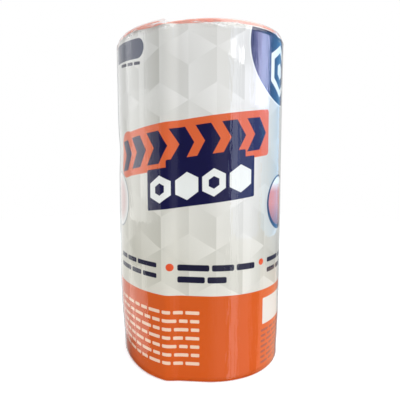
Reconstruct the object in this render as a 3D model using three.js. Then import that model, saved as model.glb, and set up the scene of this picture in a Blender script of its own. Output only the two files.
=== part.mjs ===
// An aluminium foam splint, rolled up and standing on one end inside its printed wrap.
// Millimetres, +Z up. The lower edge of the foam is at z = 0, and the roll's middle is at the origin.
// The front of the roll faces -Y, and angles are measured anticlockwise from +X, seen from above.
import * as THREE from "three";

// Driving dimensions of the splint strip, as it is wound
const STRIP_LENGTH = 915;
const STRIP_WIDTH = 115;
const STRIP_CORNER_RADIUS = 2.5;
const FOAM_THICKNESS = 1.1;
const FOAM_EDGE_BEVEL = 0.35;
const CORE_THICKNESS = 0.4;
const CORE_EDGE_INSET = 1;
const CORE_END_INSET = 2;
const CORE_CORNER_RADIUS = 2;

// Driving dimensions of the roll
const EYE_RADIUS = 7;
const OVALITY = 0.05;
const LONG_AXIS_ANGLE = 305;
const TAIL_ANGLE = 248.5;
const BOND_CLEARANCE = 0.1;
const TURN_CLEARANCE = 0.1;
const STATIONS_PER_TURN = 32;
const CORNER_STATIONS = 3;

// Driving dimensions of the printed wrap and of the clear sleeve over it
const WRAP_THICKNESS = 0.2;
const WRAP_TOP_INSET = 1.4;
const WRAP_BOTTOM_INSET = 0.6;
const WRAP_OVERLAP = 12;
const WRAP_SEAM_STEPS = 31;
const SLEEVE_THICKNESS = 0.12;
const SLEEVE_INSET = 0.2;
const SLEEVE_CURL = 0.5;
const SKIN_CLEARANCE = 0.12;
const SKIN_STATIONS = 72;
const SKIN_SINK_TOP = 0.55;
const SKIN_SINK_BOTTOM = 0.15;

// The strip's own thickness, and how much one turn of it adds to the radius
const STRIP_THICKNESS = 2 * FOAM_THICKNESS + CORE_THICKNESS + 2 * BOND_CLEARANCE;
const TURN_PITCH = STRIP_THICKNESS + TURN_CLEARANCE;

const radians = THREE.MathUtils.degToRad;

// How far the oval roll stands out, as a share of the round one, towards an angle in degrees
const oval = (angle) => 1 + OVALITY * Math.cos(2 * radians(angle - LONG_AXIS_ANGLE));

// The turns that a strip of the given length makes from the eye outwards, measured at its middle
function turnsOf(length) {
  const startRadius = EYE_RADIUS + TURN_PITCH / 2;
  return (Math.sqrt(startRadius ** 2 + (length * TURN_PITCH) / Math.PI) - startRadius) / TURN_PITCH;
}

const TURNS = turnsOf(STRIP_LENGTH);
const START_ANGLE = TAIL_ANGLE - 360 * TURNS;

// The length of strip from its start in the eye to the given angle of winding
function lengthAt(angle) {
  const turns = (angle - START_ANGLE) / 360;
  const startRadius = EYE_RADIUS + TURN_PITCH / 2;
  return 2 * Math.PI * turns * (startRadius + (TURN_PITCH * turns) / 2);
}

const angleAt = (length) => START_ANGLE + 360 * turnsOf(length);

// A point of the rolled strip: its winding angle, its height in the lay-up, and its place across the width
function rolled(angle, layer, z) {
  const turns = (angle - START_ANGLE) / 360;
  const radius = (EYE_RADIUS + TURN_PITCH * turns + layer) * oval(angle);
  return new THREE.Vector3(radius * Math.cos(radians(angle)), radius * Math.sin(radians(angle)), z);
}

// How far a rounded corner cuts into the width, at a distance from the strip's end
function cornerCut(distance, radius) {
  const inside = Math.max(radius - distance, 0);
  return radius - Math.sqrt(radius ** 2 - inside ** 2);
}

// The winding angles at which the strips' sections stand. Whole steps are counted back from the tail, so that
// neighbouring turns bend at the same angles, and the rounded corners of every strip have steps of their own.
function stationAngles() {
  const angles = [];
  const step = 360 / STATIONS_PER_TURN;
  for (let angle = TAIL_ANGLE; angle > START_ANGLE; angle -= step) angles.push(angle);
  for (const [endInset, cornerRadius] of [
    [0, STRIP_CORNER_RADIUS],
    [CORE_END_INSET, CORE_CORNER_RADIUS],
  ]) {
    for (let i = 0; i < CORNER_STATIONS; i++) {
      const length = endInset + cornerRadius * (1 - Math.cos((Math.PI / 2) * (i / CORNER_STATIONS)));
      angles.push(angleAt(length), angleAt(STRIP_LENGTH - length));
    }
  }
  const inOrder = angles.sort((a, b) => a - b);
  return inOrder.filter((angle, i) => i === 0 || angle - inOrder[i - 1] > 1e-6);
}

const STATION_ANGLES = stationAngles();

// A flat strip with rounded corners and bevelled edges, wound up: each corner of a boxed grid is placed by
// its station along the length, its face in the lay-up, and its row across the width.
function woundStrip({ layer, thickness, edgeInset, endInset, cornerRadius, bevel }) {
  const angles = STATION_ANGLES.filter((angle) => {
    const length = lengthAt(angle);
    return length > endInset - 1e-6 && length < STRIP_LENGTH - endInset + 1e-6;
  });
  const rows = bevel > 0 ? 3 : 1;
  const strip = new THREE.BoxGeometry(1, 1, 1, angles.length - 1, 1, rows);
  const place = strip.getAttribute("position");
  for (let i = 0; i < place.count; i++) {
    const angle = angles[Math.round((place.getX(i) + 0.5) * (angles.length - 1))];
    const row = Math.round((place.getZ(i) + 0.5) * rows);
    const length = lengthAt(angle) - endInset;
    const fromEnd = Math.min(length, STRIP_LENGTH - 2 * endInset - length);
    const inset = edgeInset + cornerCut(Math.max(fromEnd, 0), cornerRadius);
    const onRim = row === 0 || row === rows;
    const rise = inset + (onRim ? 0 : bevel);
    const z = row <= rows / 2 ? rise : STRIP_WIDTH - rise;
    const side = place.getY(i) + 0.5;
    const squeeze = onRim ? bevel : 0;
    const height = layer + squeeze + side * (thickness - 2 * squeeze);
    place.setXYZ(i, ...rolled(angle, height, z).toArray());
  }
  return turnedOut(strip);
}

// Winding turns the grid inside out, so its faces are reversed
function turnedOut(geometry) {
  const index = geometry.getIndex();
  for (let i = 0; i < index.count; i += 3) {
    const second = index.getX(i + 1);
    index.setX(i + 1, index.getX(i + 2));
    index.setX(i + 2, second);
  }
  geometry.computeVertexNormals();
  return geometry;
}

const SKIN_STEP = 360 / SKIN_STATIONS;

// The corners of the last turn's outer face, the tail's own corner last
function outermostCorners() {
  const corners = [];
  for (let i = 0; i <= SKIN_STATIONS; i++) {
    corners.push(rolled(TAIL_ANGLE - 360 + i * SKIN_STEP, STRIP_THICKNESS, 0));
  }
  return corners;
}

// The edges of the convex outline round some points, each as a unit normal and its distance from the middle
function tautEdges(points) {
  const sorted = [...points].sort((a, b) => a.x - b.x || a.y - b.y);
  const turn = (a, b, c) => (b.x - a.x) * (c.y - a.y) - (b.y - a.y) * (c.x - a.x);
  const half = (list) => {
    const chain = [];
    for (const point of list) {
      while (chain.length > 1 && turn(chain.at(-2), chain.at(-1), point) <= 0) chain.pop();
      chain.push(point);
    }
    return chain.slice(0, -1);
  };
  const outline = [...half(sorted), ...half(sorted.reverse())];
  return outline.map((point, i) => {
    const next = outline[(i + 1) % outline.length];
    const normal = new THREE.Vector2(next.y - point.y, point.x - next.x).normalize();
    return { normal, distance: normal.x * point.x + normal.y * point.y };
  });
}

const TAUT_EDGES = tautEdges(outermostCorners());

// The radius of a skin pulled tight round the roll, at an angle in degrees and a distance above the foam
function tautRadius(angle, above) {
  const [x, y] = [Math.cos(radians(angle)), Math.sin(radians(angle))];
  const reaches = TAUT_EDGES.filter(({ normal }) => normal.x * x + normal.y * y > 0.1).map(
    ({ normal, distance }) => (distance + above) / (normal.x * x + normal.y * y),
  );
  return Math.min(...reaches);
}

// The radius of the outermost turn's outer face at an angle. Just past the tail it falls back by one turn.
function restRadius(angle) {
  const beforeTail = THREE.MathUtils.euclideanModulo(TAIL_ANGLE - angle + 1e-6, 360);
  return rolled(TAIL_ANGLE - beforeTail, STRIP_THICKNESS, 0).length();
}

// The radius of a skin at an angle, a distance above the foam and a height. It is pulled tight, and past the
// tail it sinks towards the turn below by a share that grows from the bottom of the roll to its top.
function skinRadius(angle, above, z) {
  const sink = SKIN_SINK_BOTTOM + ((SKIN_SINK_TOP - SKIN_SINK_BOTTOM) * z) / STRIP_WIDTH;
  return tautRadius(angle, above) - sink * (tautRadius(angle, 0) - restRadius(angle));
}

// The printed wrap goes once round the roll, rising slowly so that its last stretch laps over its first
function wrapGeometry() {
  const seamAngle = TAIL_ANGLE - WRAP_SEAM_STEPS * SKIN_STEP;
  const lapAngle = (WRAP_OVERLAP / tautRadius(seamAngle, 0)) * THREE.MathUtils.RAD2DEG;
  const turned = [];
  for (let angle = 0; angle < 360 + lapAngle; angle += SKIN_STEP) turned.push(angle);
  turned.push(360 + lapAngle);
  const lift = (WRAP_THICKNESS + SKIN_CLEARANCE) / 360;
  const wrap = new THREE.BoxGeometry(1, 1, 1, turned.length - 1, 1, 1);
  const place = wrap.getAttribute("position");
  for (let i = 0; i < place.count; i++) {
    const round = turned[Math.round((place.getX(i) + 0.5) * (turned.length - 1))];
    const angle = seamAngle + round;
    const above = SKIN_CLEARANCE + lift * round + (place.getY(i) + 0.5) * WRAP_THICKNESS;
    const z = place.getZ(i) < 0 ? WRAP_BOTTOM_INSET : STRIP_WIDTH - WRAP_TOP_INSET;
    const radius = skinRadius(angle, above, z);
    place.setXYZ(i, radius * Math.cos(radians(angle)), radius * Math.sin(radians(angle)), z);
  }
  return turnedOut(wrap);
}

// Height above the foam at which the sleeve's inner face clears both laps of the wrap
const SLEEVE_ABOVE = 2 * WRAP_THICKNESS + 4 * SKIN_CLEARANCE;

// The clear sleeve reaches past the wrap to both ends of the roll, where its rims curl in over the foam.
// It is a lathed tube whose circles are then drawn in to the roll's outline.
function sleeveGeometry() {
  const bottom = SLEEVE_INSET;
  const top = STRIP_WIDTH - SLEEVE_INSET;
  const section = [
    [-SLEEVE_CURL, bottom],
    [SLEEVE_THICKNESS - SLEEVE_CURL, bottom],
    [SLEEVE_THICKNESS, bottom + SLEEVE_CURL],
    [SLEEVE_THICKNESS, top - SLEEVE_CURL],
    [SLEEVE_THICKNESS - SLEEVE_CURL, top],
    [-SLEEVE_CURL, top],
    [0, top - SLEEVE_CURL],
    [0, bottom + SLEEVE_CURL],
    [-SLEEVE_CURL, bottom],
  ].map(([out, z]) => new THREE.Vector2(SLEEVE_ABOVE + out, z));
  const sleeve = new THREE.LatheGeometry(section, SKIN_STATIONS);
  const place = sleeve.getAttribute("position");
  for (let i = 0; i < place.count; i++) {
    const [x, z, above] = [place.getX(i), place.getY(i), Math.hypot(place.getX(i), place.getZ(i))];
    const angle = TAIL_ANGLE + THREE.MathUtils.RAD2DEG * Math.atan2(x, place.getZ(i));
    const radius = skinRadius(angle, above, z);
    place.setXYZ(i, radius * Math.cos(radians(angle)), radius * Math.sin(radians(angle)), z);
  }
  return sleeve;
}

const FOAM = new THREE.MeshStandardMaterial({ color: 0xef8f72, roughness: 0.85, metalness: 0 });
const ALUMINIUM = new THREE.MeshStandardMaterial({ color: 0xc9cccf, roughness: 0.35, metalness: 1 });
const PRINTED = new THREE.MeshStandardMaterial({ color: 0xe2e3df, roughness: 0.45, metalness: 0 });
const CLEAR = new THREE.MeshStandardMaterial({
  color: 0xffffff,
  roughness: 0.08,
  metalness: 0,
  transparent: true,
  opacity: 0.2,
});

function piece(name, geometry, material) {
  const mesh = new THREE.Mesh(geometry, material);
  mesh.name = name;
  return mesh;
}

const foam = { thickness: FOAM_THICKNESS, edgeInset: 0, endInset: 0 };
const foamEdge = { cornerRadius: STRIP_CORNER_RADIUS, bevel: FOAM_EDGE_BEVEL };
const coreLayer = FOAM_THICKNESS + BOND_CLEARANCE;
const outerLayer = coreLayer + CORE_THICKNESS + BOND_CLEARANCE;

const roll = new THREE.Group();
roll.add(
  piece("foam_inner", woundStrip({ layer: 0, ...foam, ...foamEdge }), FOAM),
  piece(
    "aluminium_core",
    woundStrip({
      layer: coreLayer,
      thickness: CORE_THICKNESS,
      edgeInset: CORE_EDGE_INSET,
      endInset: CORE_END_INSET,
      cornerRadius: CORE_CORNER_RADIUS,
      bevel: 0,
    }),
    ALUMINIUM,
  ),
  piece("foam_outer", woundStrip({ layer: outerLayer, ...foam, ...foamEdge }), FOAM),
  piece("printed_wrap", wrapGeometry(), PRINTED),
  piece("clear_sleeve", sleeveGeometry(), CLEAR),
);

// The roll is moved so that the middle of its outline stands over the origin
const outline = new THREE.Box3().setFromObject(roll);
const middle = outline.getCenter(new THREE.Vector3());
roll.position.set(-middle.x, -middle.y, 0);

export default roll;
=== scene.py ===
"""Looks of a rolled aluminium foam splint in its printed wrap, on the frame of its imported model."""

import math

import bmesh
import bpy
import numpy as np
from bpy.props import (
    FloatProperty,
    FloatVectorProperty,
    IntProperty,
    PointerProperty,
)
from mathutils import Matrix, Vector


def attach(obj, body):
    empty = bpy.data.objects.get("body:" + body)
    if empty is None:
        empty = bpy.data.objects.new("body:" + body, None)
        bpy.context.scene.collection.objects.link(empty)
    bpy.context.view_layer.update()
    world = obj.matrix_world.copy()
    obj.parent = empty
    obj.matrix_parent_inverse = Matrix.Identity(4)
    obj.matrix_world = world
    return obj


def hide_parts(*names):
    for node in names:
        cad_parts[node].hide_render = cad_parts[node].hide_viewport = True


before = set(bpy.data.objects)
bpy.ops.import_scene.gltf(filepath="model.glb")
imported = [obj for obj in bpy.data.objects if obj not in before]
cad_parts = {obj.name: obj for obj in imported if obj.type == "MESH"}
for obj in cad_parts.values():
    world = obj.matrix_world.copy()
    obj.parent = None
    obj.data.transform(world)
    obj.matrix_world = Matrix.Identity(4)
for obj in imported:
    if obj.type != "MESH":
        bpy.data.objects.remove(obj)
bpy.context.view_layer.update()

bl_info = {
    "name": "Rolled foam splint",
    "version": (1, 0, 0),
    "blender": (4, 5, 0),
    "location": "View3D > Sidebar > Foam splint",
    "description": "Winds the foam and aluminium strip, wraps it and lights it",
    "category": "Object",
}

MM = 0.001
FRONT = 270.0

# Where the skins are squeezed in, or stand out where the depth is negative. Angles are in degrees round the
# roll, heights and reaches are shares of the strip's width, and depths are in millimetres.
DENT_COLUMNS = ("angle", "height", "reach_round", "reach_up", "depth")
DENTS = (
    (196, 0.00, 30, 0.15, 1.1),
    (192, 0.22, 30, 0.16, -0.35),
    (236, 0.00, 14, 0.30, -0.25),
    (345, 0.00, 26, 0.10, 0.6),
    (350, 0.75, 28, 0.40, 0.35),
    (194, 0.66, 26, 0.05, 0.5),
    (152, 0.40, 24, 0.22, 0.35),
    (60, 0.86, 30, 0.10, 0.4),
    (20, 0.12, 24, 0.16, 0.35),
)

# Where the strip's faces have a row of points, as shares of its width. They are close where the dents are.
FACE_LEVELS = np.array([0.03, 0.08, 0.16, 0.3, 0.5, 0.64, 0.68, 0.72, 0.8, 0.9, 0.96])

# The skins' outline round the roll, in degrees: the step between its places, how far its corners are
# rounded, and how far past the tail a skin has sunk in.
ROUND_STEP = 0.5
TAUT_ROUNDING = 1.0
SUNK_ROUNDING = 2.2
SUNK_LAG = 5.5

# How finely the paper and the film are laid out: sections round the roll and levels from rim to rim.
PAPER_SECTIONS = 384
PAPER_LEVELS = 60
FILM_STEP = 0.6
FILM_LEVELS = 84

# The creases of the film's rims: how many go round the roll in each set, how far they reach from a rim, and
# how deep they are at the upper and the lower rim, as shares of their depth.
CREASE_SETS = (23, 31, 47, 61, 83, 109)
CREASE_REACH = 6 * MM
CREASED_TOP = 0.5
CREASED_BASE = 0.2

# Beside the strip's outer end, in degrees: how far before it the paper's rim sags most, and over what reach.
# Past that end the film's rim dips: how soon it is down, where it is up again, and over what reach it rises.
SAG_BEFORE = 10.0
SAG_REACH = 11.0
DIP_DOWN = 2.5
DIP_END = 13.0
DIP_UP = 8.0

# The print is laid out on a round of this radius, and its coordinates count this length of paper as one.
PRINT_RADIUS = 31 * MM
PRINT_STEP = 100 * MM

# Places of the print in millimetres: how far round the paper from the front, to the viewer's right, and how
# high above the floor. Slopes are in degrees, a lean is sideways per millimetre of height, and tones go from
# nought for the shaded colour to one for the pale one.
BAND_TOP = 29.1
BARE_RIM = 113.45
BLOCK_EDGE = 10.4
BLOCK_AT = (-4.1, 101.4)
LEFT_TONE = 0.34
RIGHT_TONE = 0.70
TOP_TONE = 0.54
TONE_FALL = -0.038
TONE_CHANCE = 0.26
DISC_AT = (33.5, 109.0)
DISC_RADIUS = 17.6
BADGE_AT = (33.0, 102.6)
BADGE_RING = 6.4
BADGE_DOT = 2.4
TAB_AT = (-35.0, 109.0)
TAB_SLOPE = -4.5
BANNER_AT = (-6.2, 77.6)
LOWER_BANNER_AT = (-0.3, 65.2)
BANNER_SLOPE = 7.6
BANNER_LEAN = 0.13
CHEVRON_PITCH = 8.5
HEXAGON_PITCH = 8.9
LEFT_ROUND_AT = (-40.2, 58.6)
LEFT_ROUND = 9.9
RIGHT_ROUND_AT = (33.8, 58.1)
RIGHT_ROUND = 9.5
PATCH_AT = (33.0, 21.4)

# Small round markers at the starts of the bars: places and radii in millimetres.
MARKERS = (
    ((-10.3, 38.4), 1.25),
    ((21.6, 38.9), 1.1),
)

# Rows of plain bars, in millimetres. The word is the length that three bars and their gaps fill, the slope
# is a rise per millimetre, and the share is how strong the ink is. The ends are shares of the word.
BAR_ENDS = (0.42, 0.72, 1.0)
HALF_GAP = 0.42
BAR_COLUMNS = (
    "left", "right", "top", "pitch", "rows", "half_height", "word", "slope", "flush_right", "paint", "share",
)
BARS = (
    (-36.0, -21.2, 101.2, 3.0, 1, 0.5, 15.0, -0.1, False, "ink", 1.0),
    (-8.4, 18.8, 38.3, 3.9, 1, 1.02, 27.4, 0.0, False, "ink", 1.0),
    (-8.4, 8.8, 34.4, 3.9, 1, 1.02, 23.9, 0.0, False, "ink", 1.0),
    (-39.0, -14.6, 38.7, 3.5, 2, 0.8, 24.0, 0.0, True, "ink", 1.0),
    (24.4, 46.0, 39.0, 3.5, 2, 0.8, 22.0, 0.0, False, "ink", 1.0),
    (-38.0, -0.2, 23.4, 2.86, 7, 0.56, 13.3, 0.0, True, "cream", 1.0),
    (21.8, 40.0, 14.6, 1.9, 7, 0.38, 11.5, 0.0, False, "slate", 0.5),
)

# Lamps round the roll, in metres. An azimuth is in degrees from the front, to the viewer's right. Mirrored
# lamps only show as gloss, above all in the film, and a lighting lamp doesn't show as gloss.
WHITE = (1.0, 1.0, 1.0)
BLUE = (0.15, 0.56, 1.0)
DEEP_BLUE = (0.22, 0.42, 1.0)
AMBER = (1.0, 0.72, 0.5)
LILAC = (0.6, 0.62, 1.0)
VIOLET = (0.72, 0.7, 1.0)
PALE_VIOLET = (0.82, 0.82, 1.0)
LAMP_COLUMNS = ("name", "azimuth", "lift", "distance", "wide", "tall", "strength", "tint", "use")
LAMPS = (
    ("left_edge", -70, 0.08, 0.55, 0.12, 0.22, 0.6, WHITE, "mirrored"),
    ("left_middle", -81, 0.08, 0.55, 0.1, 0.22, 1.1, WHITE, "mirrored"),
    ("left_panel", -99, 0.08, 0.55, 0.26, 0.22, 1.95, WHITE, "mirrored"),
    ("left_high", -100, 0.28, 0.55, 0.34, 0.18, 1.6, WHITE, "mirrored"),
    ("left_low", -101, -0.19, 0.55, 0.32, 0.16, 1.1, WHITE, "mirrored"),
    ("left_back", -130, 0.07, 0.55, 0.38, 0.68, 0.75, WHITE, "mirrored"),
    ("right_panel", 110, 0.18, 0.65, 0.7, 0.54, 1.5, BLUE, "mirrored"),
    ("right_low", 110, -0.32, 0.65, 0.7, 0.36, 0.9, AMBER, "mirrored"),
    ("right_edge", 56, 0.2, 0.65, 0.64, 0.6, 0.8, DEEP_BLUE, "mirrored"),
    ("right_lilac", 82, 0.26, 0.6, 0.42, 0.18, 1.9, LILAC, "mirrored"),
    ("right_violet", 84, 0.25, 0.6, 0.28, 0.17, 3.0, VIOLET, "mirrored"),
    ("right_flare", 85, 0.25, 0.6, 0.15, 0.14, 3.0, PALE_VIOLET, "mirrored"),
    ("right_strip", 36, 0.0, 0.6, 0.13, 0.95, 0.8, WHITE, "mirrored"),
    ("right_glow", 48, 0.0, 0.62, 0.4, 0.95, 0.4, WHITE, "mirrored"),
    ("front_glow", 12, 0.0, 0.62, 0.28, 0.95, 0.12, WHITE, "mirrored"),
    ("front_haze", 19, 0.0, 0.61, 0.22, 0.95, 0.12, WHITE, "mirrored"),
    ("window_near", 33, 0.262, 0.59, 0.04, 0.028, 8.0, WHITE, "mirrored"),
    ("window_far", 45, 0.252, 0.59, 0.045, 0.028, 7.0, WHITE, "mirrored"),
    ("high_key", 66, 0.75, 0.55, 0.9, 0.7, 2.6, WHITE, "both"),
    ("overhead", 180, 0.9, 0.15, 1.2, 1.2, 0.9, WHITE, "both"),
    ("back_wall", 180, 0.3, 0.9, 2.0, 0.9, 0.7, WHITE, "lighting"),
)
LAMPS_AIM_AT = (0, 0, 0.06)

FLOOR_RADIUS = 0.42
CAMERA_AT = (0.00035, -0.1492, 0.0722)
CAMERA_DOWN = 5.79
CAMERA_LENS = 34.32


def length(name, description, default, low=0.0):
    """A length given in millimetres, kept in metres."""
    return FloatProperty(
        name=name, description=description, default=default * MM, min=low, unit="LENGTH", precision=5
    )


def turn(name, description, default):
    """An angle given in degrees."""
    return FloatProperty(
        name=name, description=description, default=math.radians(default), subtype="ANGLE"
    )


def colour(name, description, red, green, blue):
    """A colour given as it looks on screen, kept as light."""
    light = [((c / 255 + 0.055) / 1.055) ** 2.4 if c > 10 else c / 255 / 12.92 for c in (red, green, blue)]
    return FloatVectorProperty(
        name=name, description=description, default=light, size=3, subtype="COLOR", min=0, max=1
    )


class RollSizes(bpy.types.PropertyGroup):
    strip_length: length("Strip length", "Length of the strip before it is wound", 915)
    strip_width: length("Strip width", "Width of the strip, which is the roll's height", 115)
    foam: length("Foam", "Thickness of one foam layer in the roll", 1.1)
    foam_corner: length("Foam corner", "Radius of the strip's rounded corners", 2.5)
    foam_rim: length("Foam rim", "Radius that rounds the foam's cut edges", 0.42)
    core: length("Core", "Thickness of the aluminium", 0.4)
    core_inset: length("Core inset", "How far the aluminium stays inside the foam's edges", 1.0)
    core_end: length("Core end", "How far the aluminium stays inside the foam's ends", 2.0)
    core_corner: length("Core corner", "Radius of the aluminium's rounded corners", 2)
    core_rim: length("Core rim", "Radius that rounds the aluminium's edges", 0.05)
    bond_gap: length("Bond gap", "Space between foam and aluminium", 0.1)
    turn_gap: length("Turn gap", "Space between neighbouring turns", 0.1)
    eye_radius: length("Eye radius", "Radius of the open middle", 7)
    ovality: FloatProperty(
        name="Ovality", description="Share by which the roll is out of round", default=0.05, min=0, max=0.2
    )
    long_axis: turn("Long axis", "Direction of the roll's longer diameter", 305)
    tail: turn("Tail", "Direction in which the strip's outer end lies", 248.5)
    middle_x: length("Middle across", "Where the winding's axis stands, across", 0.716, -1)
    middle_y: length("Middle along", "Where the winding's axis stands, along", -0.740, -1)
    turn_stations: IntProperty(
        name="Stations", description="Sections of the strip in one turn", default=96, min=24, max=240
    )
    edge_wander: length("Edge wander", "How far the turns' upper edges stray", 0.22)


class WrapSizes(bpy.types.PropertyGroup):
    paper: length("Paper", "Thickness of the printed wrap", 0.2)
    gap: length("Gap", "Space between the foam and the wrap", 0.12)
    top: length("Top margin", "Foam left bare above the wrap", 1.4)
    bottom: length("Bottom margin", "Foam left bare below the wrap", 0.2)
    rim_waver: length("Rim waver", "How far the wrap's upper edge strays", 0.12)
    rim_sag: length("Rim sag", "How far the wrap's upper edge sinks beside the strip's end", 0.7)
    overlap: length("Overlap", "Length of the lap at the seam", 12)
    seam: turn("Seam", "Direction of the seam", 93.5)
    sink_top: FloatProperty(
        name="Sink at top", description="Share by which the wrap sinks past the tail, at the top",
        default=0.55, min=0, max=1,
    )
    sink_bottom: FloatProperty(
        name="Sink at bottom", description="Share by which the wrap sinks past the tail, at the bottom",
        default=0.15, min=0, max=1,
    )
    film_stand: length("Film stand", "Space from the foam to the clear film", 0.86)
    film_near: length("Film near", "Space from the foam to the clear film above the paper", 0.2)
    film_inset: length("Film inset", "How far the film stays above the floor", 0.05)
    film_over: length("Film over", "How far the film stands above the foam", 0.06)
    film_bend: length("Film bend", "Radius of the film's bend over the foam's rim", 0.6)
    film_fold: length("Film fold", "How far the film's rim folds in over the foam", 1.3)
    film_dip: length("Film dip", "How far the film's rim sinks past the tail", 1.0)
    crinkle: length("Crinkle", "Depth of the creases along the film's rims", 0.1)


class PrintColours(bpy.types.PropertyGroup):
    pale: colour("Pale block", "Lightest face of the printed blocks", 249, 246, 243)
    shade: colour("Shaded block", "Darkest face of the printed blocks", 198, 195, 187)
    orange: colour("Orange", "Base band of the wrap", 222, 92, 12)
    banner: colour("Banner", "Orange banner", 233, 107, 58)
    navy: colour("Navy", "Dark banner, disc and motifs", 17, 15, 72)
    slate: colour("Slate", "Plain tab at the upper left", 56, 64, 92)
    ink: colour("Ink", "Thin dark bars", 28, 26, 58)
    cream: colour("Cream", "Thin pale bars on the orange band", 249, 214, 188)
    white: colour("White", "Bare paper and pale motifs", 247, 247, 243)
    patch: colour("Patch", "Bare pale patch on the orange band", 229, 223, 217)
    tick: colour("Marker", "Small round markers", 230, 84, 40)
    blush: colour("Blush", "Fill of the two ringed rounds", 220, 138, 128)


class FoamLooks(bpy.types.PropertyGroup):
    salmon: colour("Salmon", "Colour of the foam", 250, 188, 174)
    # The deeper salmon is painted shade in the pits of the foam's cells.
    salmon_pit_shade: colour("Deep salmon", "Colour of the foam in its cells", 243, 158, 142)
    metal: colour("Aluminium", "Colour of the bare aluminium", 212, 214, 216)
    cell: length("Cell", "Size of the foam's cells", 0.35)
    glow: length("Glow", "How far light spreads inside the foam", 1.5)


def off_from(angle, middle):
    """How far angles lie from a middle one, from -180 to 180 degrees."""
    return np.mod(angle - middle + 180.0, 360.0) - 180.0


class Winding:
    """Where the layers of the wound strip lie, and the skins round them."""

    def __init__(self, roll, wrap):
        self.roll, self.wrap = roll, wrap
        self.thickness = 2 * roll.foam + roll.core + 2 * roll.bond_gap
        self.pitch = self.thickness + roll.turn_gap
        self.tail = math.degrees(roll.tail)
        self.start_radius = roll.eye_radius + self.pitch / 2
        self.start = self.tail - 360 * self.turns_of(roll.strip_length)
        self.round = np.arange(0.0, 360.0, ROUND_STEP)
        self.taut, self.sunk = self.outline()

    def turns_of(self, strip):
        """How many turns a length of strip makes, from the eye."""
        reach = np.sqrt(self.start_radius**2 + strip * self.pitch / math.pi)
        return (reach - self.start_radius) / self.pitch

    def angle_at(self, strip):
        """The angle at which a length of strip ends, in degrees."""
        return self.start + 360 * self.turns_of(strip)

    def length_at(self, angle):
        """The length of strip wound up to an angle."""
        turns = (angle - self.start) / 360
        return 2 * math.pi * turns * (self.start_radius + self.pitch * turns / 2)

    def radius(self, angle, layer):
        """The radius at an angle, where the layer is measured outwards from the strip's inner face."""
        turns = (angle - self.start) / 360
        oval = 1 + self.roll.ovality * np.cos(2 * np.radians(angle - math.degrees(self.roll.long_axis)))
        return (self.roll.eye_radius + self.pitch * turns + layer) * oval

    def outline(self):
        """Round the roll: the radius of a skin pulled taut, and how far it could sink past the tail."""
        back = np.mod(self.tail - self.round, 360.0)
        rest = self.radius(self.tail - back, self.thickness)
        ring = np.radians(np.append(self.round, self.tail))
        reach = np.append(rest, self.radius(np.array([self.tail]), self.thickness))
        points = np.stack([reach * np.cos(ring), reach * np.sin(ring)], axis=1)
        ways = np.radians(np.arange(0.0, 360.0, ROUND_STEP / 2))
        normals = np.stack([np.cos(ways), np.sin(ways)], axis=1)
        support = (points @ normals.T).max(axis=0)
        ahead = np.cos(np.radians(self.round)[:, None] - ways[None, :])
        flattest = 0.2
        taut = np.where(ahead > flattest, support[None, :] / np.maximum(ahead, flattest), 1.0).min(axis=1)
        sunk = self.softened(taut - rest, SUNK_ROUNDING)
        return self.softened(taut, TAUT_ROUNDING), np.roll(sunk, int(SUNK_LAG / ROUND_STEP))

    def softened(self, values, reach):
        """The values with their corners rounded over some degrees."""
        steps = np.arange(-16, 17)
        weights = np.exp(-((steps * ROUND_STEP / reach) ** 2) / 2)
        return sum(w * np.roll(values, s) for w, s in zip(weights, steps)) / weights.sum()

    def skin(self, angle, height):
        """The radius inside the wrap without its gap, at angles in degrees and heights in metres."""
        share = height / self.roll.strip_width
        sink = self.wrap.sink_bottom + (self.wrap.sink_top - self.wrap.sink_bottom) * share
        at = np.mod(angle, 360.0)
        taut = np.interp(at, self.round, self.taut, period=360)
        sunk = np.interp(at, self.round, self.sunk, period=360)
        return taut - sink * sunk

    def dent(self, angle, height):
        """How far the roll is squeezed in, at angles in degrees and heights in metres."""
        depth = np.zeros(np.broadcast(angle, height).shape)
        for row in DENTS:
            dent = dict(zip(DENT_COLUMNS, row))
            off = off_from(angle, dent["angle"])
            up = height / self.roll.strip_width - dent["height"]
            near = (off / dent["reach_round"]) ** 2 + (up / dent["reach_up"]) ** 2
            depth = depth + dent["depth"] * MM * np.exp(-near)
        return depth

    def place(self, angle, radius, height):
        """Points in the row's frame."""
        across = np.radians(angle)
        x = radius * np.cos(across) + self.roll.middle_x
        y = radius * np.sin(across) + self.roll.middle_y
        return np.stack(np.broadcast_arrays(x, y, height), axis=-1)


def winding(context):
    """The winding that the scene's sizes give."""
    scene = context.scene
    return Winding(scene.splint_roll, scene.splint_wrap)


def solid_faces(index):
    """Faces over a grid whose columns are closed sections of a strip, with both its ends capped."""
    this, after = index[:-1], index[1:]
    sides = np.stack([this, after, np.roll(after, -1, axis=1), np.roll(this, -1, axis=1)], axis=-1)
    return [*sides.reshape(-1, 4).tolist(), index[0].tolist(), index[-1][::-1].tolist()]


def sleeve_faces(index):
    """Faces over a grid whose columns stand round the roll, open at both rims."""
    this, after = index, np.roll(index, -1, axis=0)
    sides = np.stack([this[:, :-1], after[:, :-1], after[:, 1:], this[:, 1:]], axis=-1)
    return sides.reshape(-1, 4).tolist()


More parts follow.
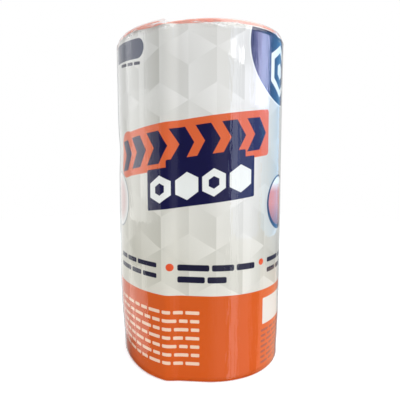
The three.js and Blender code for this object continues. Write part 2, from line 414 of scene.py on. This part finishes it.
def mesh_piece(name, grid, laid=solid_faces, marks=None):
    """A smooth mesh over a grid of points, with faces laid over it, and the marks as its print places."""
    columns, rows = grid.shape[:2]
    faces = laid(np.arange(columns * rows).reshape(columns, rows))
    mesh = bpy.data.meshes.new(name)
    mesh.from_pydata(grid.reshape(-1, 3).tolist(), [], faces)
    if marks is not None:
        flat = marks.reshape(-1, 2)
        layer = mesh.uv_layers.new(name="print")
        corners = np.empty(len(mesh.loops), dtype=np.int32)
        mesh.loops.foreach_get("vertex_index", corners)
        layer.data.foreach_set("uv", flat[corners].astype(np.float32).ravel())
    mesh.polygons.foreach_set("use_smooth", [True] * len(mesh.polygons))
    mesh.update()
    mesh.validate()
    point_outwards(mesh)
    piece = bpy.data.objects.new(name, mesh)
    bpy.context.collection.objects.link(piece)
    return piece


def point_outwards(mesh):
    """Turns the faces so that they all look out of the solid."""
    work = bmesh.new()
    work.from_mesh(mesh)
    bmesh.ops.recalc_face_normals(work, faces=work.faces)
    work.to_mesh(mesh)
    work.free()


def strip_section(rim):
    """Points round the strip's section: shares of its thickness and width, then offsets out and up."""
    arc = np.radians([0, 30, 60, 90])
    face = [(1.0, share, 0.0, 0.0) for share in FACE_LEVELS]
    upper = [(1.0, 1.0, -rim * (1 - math.cos(a)), -rim * (1 - math.sin(a))) for a in arc]
    upper_in = [(0.0, 1.0, rim * (1 - math.sin(a)), -rim * (1 - math.cos(a))) for a in arc]
    back = [(0.0, share, 0.0, 0.0) for share in FACE_LEVELS[::-1]]
    lower = [(0.0, 0.0, rim * (1 - math.cos(a)), rim * (1 - math.sin(a))) for a in arc]
    lower_in = [(1.0, 0.0, -rim * (1 - math.sin(a)), rim * (1 - math.cos(a))) for a in arc]
    return np.array(face + upper + upper_in + back + lower + lower_in)


def strip_angles(wind, end_inset, corner, rim):
    """Angles at which the strip has a section, closer together where its ends are rounded."""
    roll = wind.roll
    first, last = wind.angle_at(end_inset), wind.angle_at(roll.strip_length - end_inset)
    count = int((last - first) / 360 * roll.turn_stations)
    angles = np.linspace(first, last, count)
    ease = 1 - np.cos(np.linspace(0, math.pi / 2, 6)[1:-1])
    near = np.concatenate([corner * ease, rim * ease])
    ends = [wind.angle_at(end_inset + e) for e in near]
    ends += [wind.angle_at(roll.strip_length - end_inset - e) for e in near]
    return np.unique(np.round(np.append(angles, ends), 4))


def wound_strip(wind, name, layer, thickness, edge_inset, end_inset, corner, rim):
    """One layer of the strip, wound from the eye to the tail, with rounded edges and corners."""
    roll = wind.roll
    angles = strip_angles(wind, end_inset, corner, rim)
    section = strip_section(rim)
    strip = wind.length_at(angles) - end_inset
    from_end = np.minimum(strip, roll.strip_length - 2 * end_inset - strip)
    inside = np.clip(corner - from_end, 0, None)
    inset = edge_inset + corner - np.sqrt(np.clip(corner**2 - inside**2, 0, None))
    turns = np.radians(angles - wind.start)
    # Two slow waves along the strip let its upper edge stray.
    stray = roll.edge_wander * (0.5 * np.sin(0.31 * turns + 1.1) + 0.35 * np.sin(1.17 * turns) - 0.6)
    low = inset[:, None]
    high = (roll.strip_width - inset + stray)[:, None]
    height = low + (high - low) * section[None, :, 1] + section[None, :, 3]
    blunt = rim * (1 - np.sqrt(1 - np.clip(1 - from_end / rim, 0, 1) ** 2))[:, None]
    inward = layer + section[None, :, 0] * thickness + section[None, :, 2]
    inward = inward + blunt * (1 - 2 * section[None, :, 0])
    radius = wind.radius(angles[:, None], inward)
    # The dents fade quickly towards the eye.
    share = (radius / wind.radius(np.array(wind.tail), wind.thickness)) ** 3
    radius = radius - share * wind.dent(angles[:, None], height)
    return mesh_piece(name, wind.place(angles[:, None], radius, height))


def print_places(angle, height):
    """Where points of the skins lie on the print, for angles in degrees and heights in metres."""
    across = np.radians(angle - FRONT) * (PRINT_RADIUS / PRINT_STEP) + 0 * height
    return np.stack([across, height / PRINT_STEP], axis=-1)


def film_profile(roll, wrap):
    """From the film's lower rim to its folded upper one: heights, and how far each point lies inward."""
    top, bend, fold = roll.strip_width + wrap.film_over, wrap.film_bend, wrap.film_fold
    low = wrap.film_inset + 0.3 * MM
    body = np.linspace(low, top - bend, FILM_LEVELS)
    curl = np.radians(np.linspace(0, 90, 7))[1:]
    lower_rim = [low - 0.3 * MM, low - 0.22 * MM]
    heights = np.concatenate([lower_rim, body, top - bend * (1 - np.sin(curl)), [top, top - 0.05 * MM]])
    lower_in = [0.3 * MM, 0.1 * MM]
    inward = np.concatenate([lower_in, 0 * body, bend * (1 - np.cos(curl)), [fold, 2 * fold]])
    return heights, inward


def film_creases(angle):
    """The creases of the film's rims at angles in degrees, in shares of their depth."""
    chance = np.random.default_rng(7)
    ripple = np.zeros(angle.shape)
    for waves in CREASE_SETS:
        ripple += np.sin(np.radians(angle) * waves + chance.uniform(0, 6.3)) * 17 / waves
    return ripple


class Term:
    """A number that has its own value at each point of a surface."""

    def __init__(self, tree, value):
        self.tree = tree
        self.value = value

    def node(self, operation, *others, clamp=False):
        made = self.tree.nodes.new("ShaderNodeMath")
        made.operation = operation
        made.use_clamp = clamp
        feed(self.tree, made, dict(enumerate((self, *others))))
        return Term(self.tree, made.outputs[0])

    def __add__(self, other):
        return self.node("ADD", other)

    def __sub__(self, other):
        return self.node("SUBTRACT", other)

    def __mul__(self, other):
        return self.node("MULTIPLY", other)

    def __truediv__(self, other):
        return self.node("DIVIDE", other)

    def both(self, other):
        """The share that is left where two shares cover each other."""
        return self.node("MULTIPLY", other)

    def least(self, other):
        return self.node("MINIMUM", other)

    def most(self, other):
        return self.node("MAXIMUM", other)

    def size(self):
        return self.node("ABSOLUTE")

    def whole(self):
        return self.node("FLOOR")

    def clamped(self):
        """The number kept from nought to one."""
        return self.node("ADD", 0.0, clamp=True)

    def repeated(self, step, first, last):
        """The number measured from the nearest of some places that stand a step apart."""
        nearest = (self / step + 0.5).whole().most(float(first)).least(float(last))
        return self - nearest * step

    def above(self, limit):
        return self.node("GREATER_THAN", limit)

    def below(self, limit):
        return self.node("LESS_THAN", limit)

    def ink(self, soft=0.14):
        """The share of ink, where the number is a distance outside a shape in millimetres."""
        return self.node("MULTIPLY_ADD", -1 / soft, 0.5, clamp=True)


def feed(tree, node, inputs):
    """Gives a node its inputs, each a plain value, a number of the surface or another node's output."""
    for name, item in inputs.items():
        item = item.value if isinstance(item, Term) else item
        if isinstance(item, bpy.types.NodeSocket):
            tree.links.new(item, node.inputs[name])
        else:
            node.inputs[name].default_value = item


def added(tree, kind, inputs, output=0, **settings):
    """The output of a new node of a kind, with its settings and inputs."""
    node = tree.nodes.new("ShaderNode" + kind)
    for name, item in settings.items():
        setattr(node, name, item)
    feed(tree, node, inputs)
    return node.outputs[output]


def fresh_material(name):
    """A new material, its tree of nodes and its main shader."""
    material = bpy.data.materials.new(name)
    material.use_nodes = True
    tree = material.node_tree
    return material, tree, tree.nodes["Principled BSDF"]


def far(x, y):
    """The distance of (x, y) from nought."""
    return (x * x + y * y).node("SQRT")


def rising(value, start, reach):
    """A share that is nought up to a start and grows to one over a reach."""
    return ((value - start) / reach).clamped()


def falling(value, end, reach):
    """A share that shrinks from one to nought over a reach, up to an end."""
    return rising(value * -1.0, -end, reach)


def inked_below(z, level, soft=0.14):
    """The share of ink where it fills everything below a level."""
    return (z - level).ink(soft)


def inked_above(z, level, soft=0.14):
    """The share of ink where it fills everything above a level."""
    return (z * -1.0 + level).ink(soft)


def measured(u, z, place):
    """Places on the print measured from one of them."""
    return u - place[0], z - place[1]


def slanted(u, z, place, degrees, lean=0.0):
    """Places measured along and across a line that rises by some degrees, with the uprights leaning."""
    cos, sin = math.cos(math.radians(degrees)), math.sin(math.radians(degrees))
    x, y = measured(u, z, place)
    along, across = x * cos + y * sin, y * cos - x * sin
    return along - across * lean, across


def bar(x, y, half_length, half_height, corner):
    """The distance outside a bar with rounded corners about nought."""
    dx = x.size() - (half_length - corner)
    dy = y.size() - (half_height - corner)
    return far(dx.most(0.0), dy.most(0.0)) + dx.most(dy).least(0.0) - corner


def six_sided(x, y):
    """The distance of (x, y) from nought, measured so that a hexagon stands on a corner."""
    return (y.size() * math.cos(math.pi / 6) + x.size() * 0.5).most(x.size())


def block_tone(u, z):
    """How light the printed blocks are: a hexagon of three rhombs to each block, in two sets of rows."""
    wide, tall = BLOCK_EDGE * math.cos(math.pi / 6), BLOCK_EDGE * 1.5
    x, y = measured(u, z, BLOCK_AT)
    x, y = x / wide, y / tall

    def nearest(x, y):
        column, row = (x * 0.5 + 0.5).whole() * 2.0, (y * 0.5 + 0.5).whole() * 2.0
        return column, row, (x - column) * wide, (y - row) * tall

    one, two = nearest(x, y), nearest(x - 1.0, y - 1.0)
    second = far(two[2], two[3]).below(far(one[2], one[3]))

    def chosen(first, other):
        return first + (other - first) * second

    column, row, across, up = (chosen(a, b) for a, b in zip(one, two))
    top = (up - across.size() * math.tan(math.pi / 6)).above(0.0)
    right = across.above(0.0)
    left_tone = across * TONE_FALL + LEFT_TONE
    right_tone = across * TONE_FALL + RIGHT_TONE
    top_tone = up * 0.014 + across * 0.012 + TOP_TONE
    side_tone = left_tone + (right_tone - left_tone) * right
    tone = side_tone + (top_tone - side_tone) * top
    rhomb = {"X": column + second, "Y": row + second, "Z": top * 2.0 + right * 1.0}
    cell = added(u.tree, "CombineXYZ", rhomb)
    chance = added(u.tree, "TexWhiteNoise", {"Vector": cell}, "Value", noise_dimensions="3D")
    return tone + (Term(u.tree, chance) - 0.5) * TONE_CHANCE


def bar_rows(u, z, left, right, top, pitch, rows, half_height, word, slope, flush_right):
    """The share of ink of rows of plain rounded bars in three lengths, as the table of bars lists them."""
    down = (z * -1.0 + u * slope + top) / pitch + 0.5
    row = down.whole()
    across = (down - row - 0.5) * pitch
    outside = (row * -1.0 - 0.5).most(row - rows + 0.5)
    place = u * -1.0 + right if flush_right else u - left
    third = row.node("FLOORED_MODULO", 3.0)
    phase = third.least(1.0) * BAR_ENDS[0] + (third - 1.0).most(0.0) * (BAR_ENDS[1] - BAR_ENDS[0])
    along = (place + phase * word).node("FLOORED_MODULO", word)
    to_end = along
    for end in BAR_ENDS:
        to_end = to_end.least((along - word * end).size())
    gap = to_end * -1.0 + HALF_GAP
    corner = half_height * 0.55
    dx = gap.most(u * -1.0 + left).most(u - right) + corner
    dy = (across.size() - half_height + corner).most(outside * 9.0)
    return (far(dx.most(0.0), dy.most(0.0)) + dx.most(dy).least(0.0) - corner).ink()


def disc_marks(u, z, inks):
    """The navy disc with its white edge, and a white hexagonal ring and dot on it."""
    disc = far(*measured(u, z, DISC_AT)) - DISC_RADIUS
    badge = six_sided(*measured(u, z, BADGE_AT))
    return [
        ((disc - 0.45).ink(), inks.white),
        (disc.ink(), inks.navy),
        (((badge - BADGE_RING).size() - 1.1).ink(), inks.white),
        ((badge - BADGE_DOT).ink(), inks.white),
    ]


def tab_marks(u, z, inks):
    """The plain slate tab."""
    tab = bar(*slanted(u, z, TAB_AT, TAB_SLOPE), half_length=15.6, half_height=3.1, corner=3.1)
    return [(tab.ink(), inks.slate)]


def round_marks(u, z, inks):
    """Two ringed rounds, the left one pale with a blush middle, the right one filled from pale to dusky."""
    left = far(*measured(u, z, LEFT_ROUND_AT))
    right = far(*measured(u, z, RIGHT_ROUND_AT))
    fill = right - 8.4 - (z - RIGHT_ROUND_AT[1]) * 0.05
    return [
        ((left - LEFT_ROUND).ink(), inks.slate),
        ((left - 9.6).ink(), inks.white),
        ((left - 7.4).ink(4.0) * 0.45, inks.blush),
        ((right - RIGHT_ROUND).ink(), inks.navy),
        (fill.ink(), inks.blush),
        (fill.ink().both(inked_above(z, 63.5, 3.0)), inks.white),
        (fill.ink().both(inked_below(z, 54.5, 7.0)) * 0.6, inks.slate),
    ]


def banner_marks(u, z, inks):
    """The slanted orange banner with a rounded left end, and its row of navy chevrons."""
    x, y = slanted(u, z, BANNER_AT, BANNER_SLOPE, BANNER_LEAN)
    body = bar(x - 1.4, y, half_length=29.6, half_height=7.3, corner=1.2)
    left_end = bar(x + 25.2, y - 0.2, half_length=6.0, half_height=7.7, corner=5.5)
    chevrons = (x + y.size() * 0.6 - 1.5).repeated(CHEVRON_PITCH, -3, 3).size() - 2.5
    chevrons = chevrons.most(y.size() - 5.1)
    return [(body.least(left_end).ink(), inks.banner), (chevrons.ink(), inks.navy)]


def lower_banner_marks(u, z, inks):
    """The navy banner with a step on its upper side, and white hexagons, every other one hollow."""
    x, y = slanted(u, z, LOWER_BANNER_AT, BANNER_SLOPE, BANNER_LEAN)
    body = bar(x, y, half_length=18.4, half_height=6.5, corner=0.5)
    step = bar(x - 2.0, y - 6.6, half_length=13.0, half_height=2.2, corner=0.5)
    row = x - HEXAGON_PITCH / 2
    stones = six_sided(row.repeated(HEXAGON_PITCH, -2, 1), y + 0.1) - 3.8
    hollow = six_sided(row.repeated(2 * HEXAGON_PITCH, -1, 0), y + 0.1) - 1.7
    return [
        (body.least(step).ink(), inks.navy),
        (stones.ink(), inks.white),
        (hollow.ink(), inks.navy),
    ]


def line_marks(u, z, inks):
    """The round markers, the rows of plain bars and the bare patch."""
    layers = []
    for place, radius in MARKERS:
        dot = far(*measured(u, z, place)) - radius
        layers.append((dot.ink(), inks.tick))
    for *sizes, paint, share in BARS:
        bars = bar_rows(u, z, **dict(zip(BAR_COLUMNS, sizes)))
        layers.append((bars * share, getattr(inks, paint)))
    patch = bar(*measured(u, z, PATCH_AT), half_length=10.2, half_height=4.6, corner=0.4)
    return [*layers, (patch.ink(), inks.patch)]


def printed(tree, ground, u, z, inks):
    """The ground with the print on it, laid over one another from the bottom layer up."""
    layers = [(inked_below(z, BAND_TOP), inks.orange)]
    for marks in (disc_marks, tab_marks, round_marks, banner_marks, lower_banner_marks, line_marks):
        layers += marks(u, z, inks)
    layers.append((inked_above(z, BARE_RIM, 0.2), inks.white))
    for share, paint in layers:
        inputs = {"Factor": share, "A": ground, "B": (*paint, 1.0)}
        ground = added(tree, "Mix", inputs, "Result", data_type="RGBA")
    return ground


def block_ground(tree, u, z, inks):
    """The printed blocks with painted light and shade: painted light at the upper front, at the upper left
    and round towards the right, painted shade on the right side and at the top right, and a painted warm
    light towards the base and the left.
    """
    # Painted light: the upper front of the print is made lighter, where more light falls on it.
    lit = rising(u, -10.0, 6.0).both(falling(u, 24.0, 8.0)).both(rising(z, 50.0, 30.0))
    # Painted shade: the right side of the print is made darker, where less light falls on it.
    dim = rising(u, 16.0, 8.0).both(falling(u, 64.0, 16.0))
    # Painted light: the upper left of the print is made lighter, where the light washes over it.
    painted_light_left = falling(u, -14.0, 6.0).both(rising(z, 60.0, 30.0))
    # Painted shade: the top right of the print is made darker, so that the film's glints stand out against
    # it.
    painted_shade_top_right = rising(u, 9.0, 5.0).both(rising(z, 99.0, 6.0))
    # Painted light: the print grows lighter round towards the right side of the roll, and darker round
    # towards the left.
    light_from_right = (u / (PRINT_RADIUS / MM)).node("SINE")
    tone = block_tone(u, z) + light_from_right * 0.13 + lit * 0.3 + painted_light_left * 0.22 - dim * 0.42 - painted_shade_top_right * 0.3
    inputs = {"Factor": tone * 0.87, "A": (*inks.shade, 1.0), "B": (*inks.pale, 1.0)}
    blocks = added(tree, "Mix", inputs, "Result", data_type="RGBA")
    # Painted warm light: the blocks are tinted warmer towards the base and towards the left.
    painted_warm_light = falling(z, 95.0, 60.0).both(light_from_right * -0.42 + 0.56)
    inputs = {"Factor": painted_warm_light, "A": blocks, "B": (1.0, 0.97, 0.87, 1.0)}
    return added(tree, "Mix", inputs, "Result", data_type="RGBA", blend_type="MULTIPLY")


def print_material(inks):
    """Coated paper with its print."""
    material, tree, shader = fresh_material("printed_paper")
    marks = added(tree, "UVMap", {}, uv_map="print")
    u = Term(tree, added(tree, "SeparateXYZ", {0: marks}, "X")) * (PRINT_STEP / MM)
    z = Term(tree, added(tree, "SeparateXYZ", {0: marks}, "Y")) * (PRINT_STEP / MM)
    place = added(tree, "TexCoord", {}, "Object")
    grain = added(tree, "TexNoise", {"Vector": place, "Scale": 900.0, "Detail": 3.0}, "Fac")
    rough = added(tree, "MapRange", {"Value": grain, "To Min": 0.3, "To Max": 0.46}, "Result")
    base = printed(tree, block_ground(tree, u, z, inks), u, z, inks)
    feed(tree, shader, {"Base Color": base, "Roughness": rough, "Specular IOR Level": 0.2})
    return material


def film_unevenness(tree, marks):
    """Long upright waves and finer pulls in the film, as a bumped normal."""
    upright = added(tree, "Mapping", {"Vector": marks, "Scale": (1.0, 0.1, 1.0)})
    waves = added(tree, "TexNoise", {"Vector": upright, "Scale": 34.0, "Detail": 2.0}, "Fac")
    pulls = added(tree, "TexNoise", {"Vector": upright, "Scale": 160.0, "Detail": 1.0}, "Fac")
    height = Term(tree, waves) + Term(tree, pulls) * 0.42
    return added(tree, "Bump", {"Height": height, "Strength": 0.25, "Distance": 0.0004})


def painted_rim_glints(tree, marks):
    """The share of painted white glints on the creased upper rim of the film, in slanted streaks."""
    turned = (0.0, 0.0, math.radians(32))
    slant = added(tree, "Mapping", {"Vector": marks, "Rotation": turned, "Scale": (1.0, 5.0, 1.0)})
    creases = added(tree, "TexNoise", {"Vector": slant, "Scale": 18.0, "Detail": 4.0}, "Fac")
    level = Term(tree, added(tree, "SeparateXYZ", {0: marks}, "Y")) * (PRINT_STEP / MM)
    glint_streak = (Term(tree, creases) + rising(level, 111.4, 2.0) * 0.12 - 0.66) * 14.0
    return glint_streak.clamped().both(rising(level, 109.0, 3.0)).both(level.below(114.1)).both(0.7)


def film_material():
    """Clear shrink film: it mirrors at its surface, shows what is behind it, and has painted white glints
    along its creased upper rim.
    """
    material, tree, glint_white_shader = fresh_material("glossy_clear_film")
    marks = added(tree, "UVMap", {}, uv_map="print")
    uneven = film_unevenness(tree, marks)
    gloss = added(tree, "BsdfGlossy", {"Roughness": 0.045, "Normal": uneven})
    clear = added(tree, "BsdfTransparent", {"Color": (0.985, 0.99, 0.99, 1.0)})
    facing = added(tree, "LayerWeight", {"Blend": 0.5, "Normal": uneven}, "Facing")
    mirrored = Term(tree, facing).node("POWER", 5.0) * 0.925 + 0.075
    smooth = added(tree, "MixShader", {0: mirrored, 1: clear, 2: gloss})
    feed(tree, glint_white_shader, {"Base Color": (0.97, 0.97, 0.97, 1.0), "Roughness": 0.4, "Specular IOR Level": 0.8})
    # Painted highlights: a white shader is mixed in as glints along the creased upper rim.
    creased = added(tree, "MixShader", {0: painted_rim_glints(tree, marks), 1: smooth, 2: glint_white_shader.outputs[0]})
    feed(tree, tree.nodes["Material Output"], {"Surface": creased})
    return material


def foam_material(looks):
    """Closed-cell foam: matt, with fine cells that show on the cut edges, and painted shade deepening its
    colour in their pits.
    """
    material, tree, shader = fresh_material("closed_cell_foam")
    place = added(tree, "TexCoord", {}, "Object")
    cells = added(tree, "TexVoronoi", {"Vector": place, "Scale": 1 / looks.cell}, "Distance")
    cloud = added(tree, "TexNoise", {"Vector": place, "Scale": 160.0}, "Fac")
    # Painted shade: the colour deepens in the cells' pits, where the bump sinks, with a random cloud of tone
    # over it.
    blend = Term(tree, cells).node("MULTIPLY_ADD", 0.5, cloud, clamp=True)
    inputs = {"Factor": blend, "A": (*looks.salmon_pit_shade, 1.0), "B": (*looks.salmon, 1.0)}
    tint = added(tree, "Mix", inputs, "Result", data_type="RGBA")
    pitted = added(tree, "Bump", {"Height": cells, "Strength": 0.35, "Distance": 0.0001})
    feed(tree, shader, {
        "Base Color": tint,
        "Normal": pitted,
        "Roughness": 0.72,
        "Sheen Weight": 0.15,
        "Subsurface Weight": 0.5,
        "Subsurface Scale": looks.glow,
        "Subsurface Radius": (1.0, 0.55, 0.45),
    })
    return material


def metal_material(looks):
    """Soft bare aluminium sheet, with fine lines from its rolling."""
    material, tree, shader = fresh_material("soft_aluminium")
    place = added(tree, "TexCoord", {}, "Object")
    stretched = added(tree, "Mapping", {"Vector": place, "Scale": (1.0, 1.0, 0.04)})
    lines = added(tree, "TexNoise", {"Vector": stretched, "Scale": 2500.0}, "Fac")
    rough = added(tree, "MapRange", {"Value": lines, "To Min": 0.28, "To Max": 0.5}, "Result")
    feed(tree, shader, {"Base Color": (*looks.metal, 1.0), "Metallic": 1.0, "Roughness": rough})
    return material


def floor_material():
    """Pale floor that fades out into the backdrop."""
    material, tree, shader = fresh_material("pale_floor")
    place = added(tree, "TexCoord", {}, "Object")
    reach = added(tree, "VectorMath", {0: place}, "Value", operation="LENGTH")
    ends = {"From Min": 0.1, "From Max": 0.4, "To Min": 1.0, "To Max": 0.0}
    fade = added(tree, "MapRange", {"Value": reach, **ends}, "Result")
    feed(tree, shader, {
        "Base Color": (0.72, 0.74, 0.74, 1.0),
        "Roughness": 0.9,
        "Specular IOR Level": 0.0,
        "Emission Color": (0.9, 0.97, 1.0, 1.0),
        "Emission Strength": 0.55,
        "Alpha": fade,
    })
    return material


class SPLINT_OT_foam(bpy.types.Operator):
    """Wind the two foam layers of the strip"""

    bl_idname = "splint.foam"
    bl_label = "Foam layers"

    def execute(self, context):
        wind, roll = winding(context), context.scene.splint_roll
        outer = roll.foam + roll.core + 2 * roll.bond_gap
        material = foam_material(context.scene.splint_foam)
        for name, node, layer in (("inner_foam", "foam_inner", 0.0), ("outer_foam", "foam_outer", outer)):
            piece = wound_strip(wind, name, layer, roll.foam, 0.0, 0.0, roll.foam_corner, roll.foam_rim)
            piece.data.materials.append(material)
            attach(piece, "root")
            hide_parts(node)
        return {"FINISHED"}


class SPLINT_OT_core(bpy.types.Operator):
    """Wind the aluminium strip between the foam layers"""

    bl_idname = "splint.core"
    bl_label = "Aluminium core"

    def execute(self, context):
        wind, roll = winding(context), context.scene.splint_roll
        layer = roll.foam + roll.bond_gap
        insets = (roll.core_inset, roll.core_end)
        piece = wound_strip(
            wind, "aluminium_strip", layer, roll.core, *insets, roll.core_corner, roll.core_rim
        )
        piece.data.materials.append(metal_material(context.scene.splint_foam))
        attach(piece, "root")
        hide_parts("aluminium_core")
        return {"FINISHED"}


class SPLINT_OT_wrap(bpy.types.Operator):
    """Wrap the printed paper once round the roll and lap it over itself"""

    bl_idname = "splint.wrap"
    bl_label = "Printed wrap"

    def execute(self, context):
        wind, wrap, roll = winding(context), context.scene.splint_wrap, context.scene.splint_roll
        lap = math.degrees(wrap.overlap / PRINT_RADIUS)
        turned = np.linspace(0.0, 360.0 + lap, PAPER_SECTIONS)
        angle = (math.degrees(wrap.seam) + turned)[:, None]
        heights = np.linspace(wrap.bottom, roll.strip_width - wrap.top, PAPER_LEVELS)
        lift = wrap.gap + (wrap.paper + wrap.gap) * turned / 360
        waver = wrap.rim_waver * (np.sin(np.radians(angle) * 5 + 0.6) + 0.6 * np.sin(np.radians(angle) * 13))
        beside = off_from(angle, wind.tail - SAG_BEFORE)
        waver = waver - wrap.rim_sag * np.exp(-((beside / SAG_REACH) ** 2))
        rows = np.concatenate([heights, heights[::-1]])
        outer = np.concatenate([np.ones(PAPER_LEVELS), np.zeros(PAPER_LEVELS)])
        height = rows[None, :] + waver * (rows[None, :] / roll.strip_width) ** 8
        radius = wind.skin(angle, height) + lift[:, None] + outer[None, :] * wrap.paper
        radius = radius - wind.dent(angle, height)
        marks = print_places(angle, height)
        piece = mesh_piece("printed_label", wind.place(angle, radius, height), marks=marks)
        piece.data.materials.append(print_material(context.scene.splint_print))
        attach(piece, "root")
        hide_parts("printed_wrap")
        return {"FINISHED"}


class SPLINT_OT_film(bpy.types.Operator):
    """Draw the clear film over the wrap, with its rims folded in over the foam"""

    bl_idname = "splint.film"
    bl_label = "Clear film"

    def execute(self, context):
        wind, wrap, roll = winding(context), context.scene.splint_wrap, context.scene.splint_roll
        angle = np.arange(0.0, 360.0, FILM_STEP)[:, None]
        heights, inward = film_profile(roll, wrap)
        hug = np.clip((heights - (roll.strip_width - wrap.top - 0.3 * MM)) / (1.1 * MM), 0, 1)
        hug = hug * hug * (3 - 2 * hug) * (wrap.film_stand - wrap.film_near)
        near_top = np.clip((heights - (roll.strip_width - CREASE_REACH)) / CREASE_REACH, 0, 1) ** 2
        near_base = np.clip((CREASE_REACH - heights) / CREASE_REACH, 0, 1) ** 2
        past = np.mod(angle - wind.tail, 360.0)
        dip = np.clip(past / DIP_DOWN, 0, 1) * np.clip((DIP_END - past) / DIP_UP, 0, 1)
        height = heights[None, :] - wrap.film_dip * dip * near_top[None, :]
        inward = inward[None, :] * (1 - 0.6 * dip)
        radius = wind.skin(angle, height) + wrap.film_stand - hug[None, :] - inward
        radius = radius - wind.dent(angle, height)
        creased = (near_top * CREASED_TOP + near_base * CREASED_BASE)[None, :]
        radius = radius + wrap.crinkle * film_creases(angle) * creased
        grid, marks = wind.place(angle, radius, height), print_places(angle, height)
        piece = mesh_piece("clear_wrap", grid, laid=sleeve_faces, marks=marks)
        piece.data.materials.append(film_material())
        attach(piece, "root")
        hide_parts("clear_sleeve")
        return {"FINISHED"}


def soft_box(name, azimuth, lift, distance, wide, tall, strength, tint, use):
    """A lamp that is a lit rectangle, as the table of lamps lists it."""
    lamp = bpy.data.lights.new(name, "AREA")
    lamp.shape = "RECTANGLE"
    lamp.size, lamp.size_y = wide, tall
    lamp.energy = strength * wide * tall * math.pi
    lamp.color = tint
    made = bpy.data.objects.new(name, lamp)
    around = math.radians(azimuth)
    made.location = (distance * math.sin(around), -distance * math.cos(around), lift)
    made.rotation_euler = (Vector(LAMPS_AIM_AT) - made.location).to_track_quat("-Z", "Y").to_euler()
    made.visible_camera = False
    made.visible_diffuse = use != "mirrored"
    made.visible_glossy = use != "lighting"
    bpy.context.collection.objects.link(made)


def studio_world(scene):
    """White to the eye, pale as light, and as gloss dark but for a bright side at the back."""
    world = bpy.data.worlds.new("studio")
    world.use_nodes = True
    scene.world = world
    tree = world.node_tree
    seen = tree.nodes["Background"]
    feed(tree, seen, {"Color": (1.0, 1.0, 1.0, 1.0), "Strength": 1.0})
    around = added(tree, "Background", {"Color": (0.97, 0.985, 1.0, 1.0), "Strength": 0.66})
    way = added(tree, "TexCoord", {}, "Generated")
    backwards = added(tree, "SeparateXYZ", {0: way}, "Y")
    ends = {"From Min": 0.66, "From Max": 0.9, "To Min": 0.04, "To Max": 0.95}
    behind = added(tree, "MapRange", {"Value": backwards, **ends}, "Result")
    dim = added(tree, "Background", {"Strength": behind})
    in_film = added(tree, "LightPath", {}, "Is Glossy Ray")
    to_eye = added(tree, "LightPath", {}, "Is Camera Ray")
    room = added(tree, "MixShader", {0: in_film, 1: around, 2: dim})
    whole = added(tree, "MixShader", {0: to_eye, 1: room, 2: seen.outputs[0]})
    feed(tree, tree.nodes["World Output"], {"Surface": whole})


def stand_camera(scene):
    """The camera in front of the roll, looking a little down."""
    camera = bpy.data.cameras.new("camera")
    camera.sensor_fit = "HORIZONTAL"
    camera.sensor_width = 36.0
    camera.lens = CAMERA_LENS
    camera.clip_start = 0.005
    made = bpy.data.objects.new("camera", camera)
    made.location = CAMERA_AT
    made.rotation_euler = (math.radians(90 - CAMERA_DOWN), 0.0, 0.0)
    scene.collection.objects.link(made)
    scene.camera = made


class SPLINT_OT_stage(bpy.types.Operator):
    """Lay the pale floor, hang the lamps and stand the camera at the photographed angle"""

    bl_idname = "splint.stage"
    bl_label = "Floor, lamps and camera"

    def execute(self, context):
        bpy.ops.mesh.primitive_circle_add(vertices=96, radius=FLOOR_RADIUS, fill_type="NGON")
        floor = context.object
        floor.name = "floor"
        floor.data.materials.append(floor_material())
        floor.visible_glossy = False
        for values in LAMPS:
            soft_box(**dict(zip(LAMP_COLUMNS, values)))
        studio_world(context.scene)
        stand_camera(context.scene)
        context.scene.view_settings.view_transform = "Standard"
        return {"FINISHED"}


class SPLINT_PT_panel(bpy.types.Panel):
    """Lists the makers and their sizes and colours"""

    bl_idname = "SPLINT_PT_panel"
    bl_label = "Foam splint"
    bl_space_type = "VIEW_3D"
    bl_region_type = "UI"
    bl_category = "Foam splint"

    def draw(self, context):
        for maker in MAKERS:
            self.layout.operator(maker.bl_idname)
        for group in GROUPS:
            box = self.layout.box()
            sizes = getattr(context.scene, group)
            for name in sizes.__annotations__:
                box.prop(sizes, name)


GROUPS = {
    "splint_roll": RollSizes,
    "splint_wrap": WrapSizes,
    "splint_print": PrintColours,
    "splint_foam": FoamLooks,
}
MAKERS = (SPLINT_OT_foam, SPLINT_OT_core, SPLINT_OT_wrap, SPLINT_OT_film, SPLINT_OT_stage)


def register():
    for item in (*GROUPS.values(), *MAKERS, SPLINT_PT_panel):
        bpy.utils.register_class(item)
    for name, group in GROUPS.items():
        setattr(bpy.types.Scene, name, PointerProperty(type=group))


def unregister():
    for name in GROUPS:
        delattr(bpy.types.Scene, name)
    for item in (SPLINT_PT_panel, *reversed(MAKERS), *reversed(GROUPS.values())):
        bpy.utils.unregister_class(item)


def main():
    register()
    bpy.ops.splint.foam()
    bpy.ops.splint.core()
    bpy.ops.splint.wrap()
    bpy.ops.splint.film()
    bpy.ops.splint.stage()


if __name__ == "__main__":
    main()
